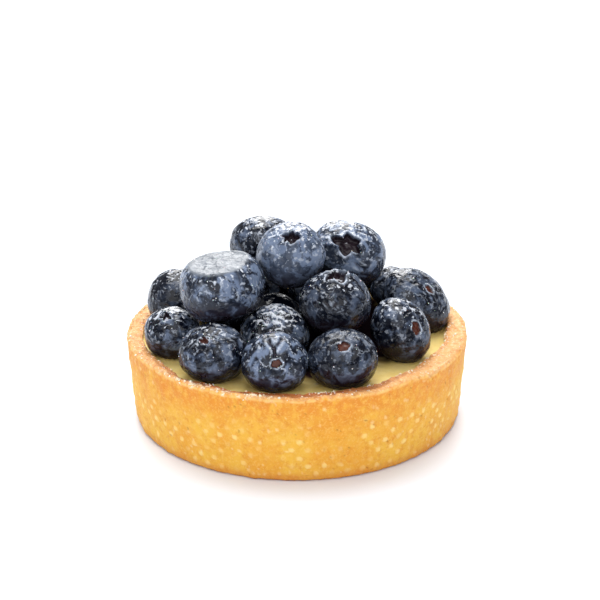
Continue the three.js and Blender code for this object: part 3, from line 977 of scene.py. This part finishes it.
def custard_surface(plan, from_wall, skins):
    """Height of the custard at each place, and how dark it is near the berries and the wall."""
    surface = CUSTARD_LEVEL + 0.1 * fractal(plan, 6, 71, 2) + 0.02 * noise(plan, 1.2, 75)
    surface += WALL_RISE * np.exp(-from_wall / WALL_RISE_WIDTH) * (1 + 0.5 * noise(plan, 3, 77))
    shade = 0.1 * np.exp(-from_wall / 0.25)
    for skin in skins.values():
        away = outside_berry(skin["points"], plan)
        if away is None:
            continue
        beside = np.maximum(away, 0)
        surface += MENISCUS_HEIGHT * np.exp(-beside / MENISCUS_WIDTH) * (away > -1.5)
        shade = np.maximum(shade, 0.32 * np.exp(-beside / 1.4))
        # It is darkest in the clefts between berry and wall.
        shade = np.maximum(shade, 0.9 * smoothstep(2.6, 1.0, beside + from_wall))
        depth = CUSTARD_LEVEL - skin["points"][:, 2].min() + HOLLOW_GAP
        surface -= depth * smoothstep(-0.35, -1.85, away)
    return surface, shade


def heap_shade_masks(points, tree):
    """Where the custard is painted dark as shade under the heap, tinted like juice, and where it is painted
    black as the deepest shade.
    """
    covered = 1 - open_share(tree, points + 0.3 * UP, points[:, 2] > CUSTARD_LEVEL - 1)
    ragged = np.hypot(points[:, 0], points[:, 1]) + 2 * fractal(points, 5, 79, 2)
    ragged -= HEAP_SHADE_BACK * smoothstep(0.3, 0.75, np.sin(np.arctan2(points[:, 1], points[:, 0])))
    # deep: painted black shade in the heap's depth, a little darker still where the heap covers the sky.
    deep = smoothstep(HEAP_SHADE_EDGE - 1, HEAP_SHADE_EDGE - 5, ragged) * (0.85 + 0.15 * covered)
    return smoothstep(HEAP_SHADE_EDGE + 4, HEAP_SHADE_EDGE - 2, ragged), deep


def custard_piece(material, skins, tree):
    """The set custard: level, rising a little to the wall and to each berry, and hollowed under them."""
    points, from_wall = custard_plan()
    surface, shade = custard_surface(points, from_wall, skins)
    points[:, 2] = surface
    heap_shade, deep = heap_shade_masks(points, tree)
    bottom = FLOOR + 0.05
    angle = np.linspace(0, 2 * np.pi, CUSTARD_SEGMENTS, endpoint=False)
    sides = ((0.3, 10.0), (INNER_TAPER, bottom + INNER_CORNER), (INNER_TAPER + INNER_CORNER, bottom))
    foot = [round_points(inner_radius(angle) - inset, angle, np.full(len(angle), z)) for inset, z in sides]
    points = np.vstack([points, *foot, [[0.0, 0.0, bottom]]])
    hidden = np.zeros(len(points) - len(shade))
    masks = {"shade": shade, "heap_shade": heap_shade, "deep": deep}
    masks = {name: np.concatenate([values, hidden]) for name, values in masks.items()}
    faces = grid_faces(CUSTARD_RINGS + len(sides), CUSTARD_SEGMENTS)
    return make_piece("custard_filling", points, faces, material, masks, "custard")


# Loose sugar and crumbs

OCTAHEDRON = np.array([[1, 0, 0], [0, 1, 0], [-1, 0, 0], [0, -1, 0], [0, 0, 1], [0, 0, -1]], float)
OCTAHEDRON_SIDES = np.array(
    [[0, 1, 4], [1, 2, 4], [2, 3, 4], [3, 0, 4], [1, 0, 5], [2, 1, 5], [3, 2, 5], [0, 3, 5]]
)


def lumps_at(places, sizes, random):
    """One small uneven eight-sided lump at each place."""
    count = len(places)
    least, greatest = sizes
    scale = random.uniform(0, 1, (count, 1, 1)) ** 1.7 * (greatest - least) + least
    scale = scale * random.uniform(0.6, 1.3, (count, 6, 1))
    spin, _ = np.linalg.qr(random.normal(size=(count, 3, 3)))
    spin *= np.sign(np.linalg.det(spin))[:, None, None]
    points = (OCTAHEDRON[None] * scale) @ spin.transpose(0, 2, 1) + places[:, None]
    faces = OCTAHEDRON_SIDES[None] + 6 * np.arange(count)[:, None, None]
    return points.reshape(-1, 3), faces.reshape(-1, 3).tolist()


def rim_places(crust):
    """Points of the rim with how far in from the crest each one lies, from 0 to 1."""
    points = np.array([vertex.co for vertex in crust.data.vertices]) / MM
    radius = np.hypot(points[:, 0], points[:, 1])
    points = points[(points[:, 2] > SHELL_HEIGHT - RIM_DEPTH) & (radius < RIM_RADIUS - RIM_OUTSIDE)]
    radius = np.hypot(points[:, 0], points[:, 1])
    inner = inner_radius(np.arctan2(points[:, 1], points[:, 0]))
    crest = RIM_RADIUS - RIM_CREST
    return points, np.clip((crest - radius) / (crest - inner), 0, 1)


def sugar_piece(material, skins, crust):
    """Loose grains of sugar on the berries under the open sky and on the rim."""
    random = np.random.default_rng(SUGAR_SEED)
    places = []
    for skin in skins.values():
        points, masks = skin["points"], skin["masks"]
        patchy = smoothstep(-0.4, 0.7, fractal(points, 1.8, 61, 2))
        weight = 0.012 * masks["open"] * (0.6 + masks["bloom"]) + 0.07 * masks["sugar"] ** 2 * patchy
        chosen = random.random(len(points)) < weight * (1 - np.maximum(masks["crown"], masks["scar"]))
        places.append(points[chosen] + random.uniform(-0.06, 0.06, (chosen.sum(), 3)))
    rim, inward = rim_places(crust)
    patchy = smoothstep(-0.5, 0.6, fractal(rim, 3, 91, 2))
    chosen = random.random(len(rim)) < 0.012 + 0.05 * smoothstep(0.5, 1.0, inward) * patchy
    places.append(rim[chosen])
    points, faces = lumps_at(np.vstack(places), GRAIN_SIZE, random)
    return make_piece("icing_sugar", points, faces, material, {}, None)


def crumb_piece(material, crust):
    """Pale crumbs along the crumbled inner edge of the rim and here and there on its crest."""
    random = np.random.default_rng(SUGAR_SEED + 1)
    rim, inward = rim_places(crust)
    patchy = smoothstep(-0.1, 0.7, fractal(rim, 4, 95, 3))
    clumps = smoothstep(0.15, 0.5, fractal(rim, 1.6, 97, 2))
    near_edge = smoothstep(0.6, 0.95, inward)
    near_crest = smoothstep(0.35, 0.1, inward)
    crumbled = crumbled_side(np.arctan2(rim[:, 1], rim[:, 0]))
    chance = 0.003 + patchy * (0.09 * near_edge + 0.03 * near_crest)
    chance += clumps * crumbled * (0.3 * near_crest + 0.1 * near_edge)
    points, faces = lumps_at(rim[random.random(len(rim)) < chance], CRUMB_SIZE, random)
    return make_piece("rim_crumbs", points, faces, material, {}, None)


# Stage

CAMERA_TARGET_HEIGHT = 10.0
CAMERA_DISTANCE = 320.0
CAMERA_ELEVATION = 24.32
CAMERA_PITCH = 21.5
CAMERA_YAW = -0.14
CAMERA_ROLL = -0.12
FOCAL_PIXELS = 1337.9
PICTURE_PIXELS = 600
SENSOR = 36.0
CLIP_START = 0.01
FLOOR_HALF = 3.0
# Soft lights: azimuth and elevation in degrees, strength, and width in degrees.
LIGHTS = {
    "key_above_behind": (98, 66, 2.9, 50),
    "back_low": (92, 28, 2.0, 36),
    "side_left": (182, 30, 0.15, 12),
    "fill_front": (270, 45, 1.65, 70),
}
SKY = 0.28


def make_camera():
    data = bpy.data.cameras.new("camera")
    data.sensor_fit = "HORIZONTAL"
    data.sensor_width = SENSOR
    data.lens = FOCAL_PIXELS / PICTURE_PIXELS * SENSOR
    data.clip_start = CLIP_START
    camera = bpy.data.objects.new("camera", data)
    tilt = math.radians(CAMERA_ELEVATION)
    turned = (
        Matrix.Rotation(math.radians(CAMERA_YAW), 4, "Z")
        @ Matrix.Rotation(math.radians(90 - CAMERA_PITCH), 4, "X")
        @ Matrix.Rotation(math.radians(CAMERA_ROLL), 4, "Z")
    )
    height = CAMERA_TARGET_HEIGHT + CAMERA_DISTANCE * math.sin(tilt)
    place = (0, -CAMERA_DISTANCE * math.cos(tilt) * MM, height * MM)
    camera.matrix_world = Matrix.Translation(place) @ turned
    bpy.context.scene.collection.objects.link(camera)
    bpy.context.scene.camera = camera


def make_light(name, azimuth, elevation, strength, width):
    """A soft, even light from one side of the sky."""
    data = bpy.data.lights.new(name, "SUN")
    data.energy = strength
    data.angle = math.radians(width)
    light = bpy.data.objects.new(name, data)
    light.rotation_euler = (math.radians(90 - elevation), 0, math.radians(azimuth + 90))
    bpy.context.scene.collection.objects.link(light)


def make_stage():
    half = FLOOR_HALF
    mesh = bpy.data.meshes.new("floor")
    corners = [(-half, -half, 0), (half, -half, 0), (half, half, 0), (-half, half, 0)]
    mesh.from_pydata(corners, [], [(0, 1, 2, 3)])
    mesh.materials.append(floor_material())
    floor = bpy.data.objects.new("floor", mesh)
    bpy.context.scene.collection.objects.link(floor)

    world = bpy.data.worlds.new("studio")
    world.use_nodes = True
    background = world.node_tree.nodes["Background"]
    background.inputs["Color"].default_value = (1.0, 1.0, 1.0, 1.0)
    background.inputs["Strength"].default_value = SKY
    bpy.context.scene.world = world
    bpy.context.scene.view_settings.view_transform = "Standard"
    for name, settings in LIGHTS.items():
        make_light(name, *settings)


make_camera()
make_stage()
crust = crust_piece(crust_material())
skins = {name: berry_skin(name, order) for order, name in enumerate(BERRIES)}
tree = heap_tree(skins)
sift_sugar(skins, tree)
skin_material = berry_material()
for name, skin in skins.items():
    points, faces, masks = skin["points"], skin["faces"], skin["masks"]
    make_piece(name + "_skin", points, faces, skin_material, masks, name)
custard_piece(custard_material(), skins, tree)
sugar_piece(sugar_material(), skins, crust)
crumb_piece(crumb_material(), crust)
